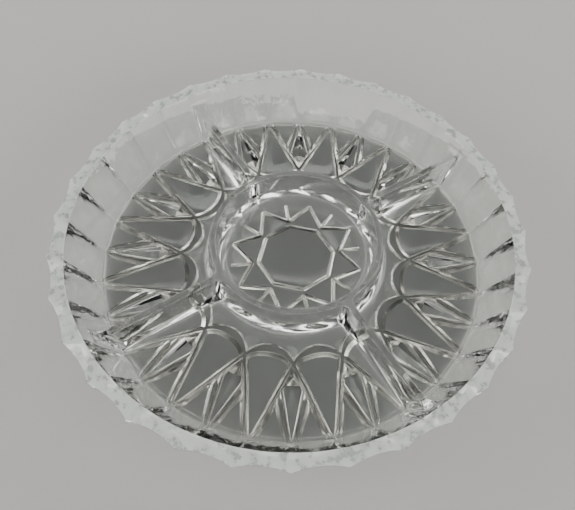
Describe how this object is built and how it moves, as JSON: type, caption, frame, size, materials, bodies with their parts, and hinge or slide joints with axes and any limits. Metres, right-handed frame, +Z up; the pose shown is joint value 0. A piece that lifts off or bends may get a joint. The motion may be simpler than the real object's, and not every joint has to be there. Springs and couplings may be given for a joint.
{
  "type": "divided glass serving dish",
  "caption": "Round pressed-glass chip and dip dish with a fluted outer wall, chip compartments between radial dividers and a round dip well in the middle.",
  "frame": {"origin": "centre of the flat underside, on the surface that the dish stands on", "axes": "+Z up along the dish's axis; the dividers lie along X and Y"},
  "size_m": [0.28, 0.28, 0.038],
  "materials": {
    "pressed_glass": "polished"
  },
  "bodies": {
    "root": {"outer_wall": "pressed_glass", "dip_well_ring": "pressed_glass", "dip_well_floor": "pressed_glass", "divider_1": "pressed_glass", "divider_2": "pressed_glass", "divider_3": "pressed_glass", "divider_4": "pressed_glass", "compartment_floor_1": "pressed_glass", "compartment_floor_2": "pressed_glass", "compartment_floor_3": "pressed_glass", "compartment_floor_4": "pressed_glass"}
  },
  "joints": []
}
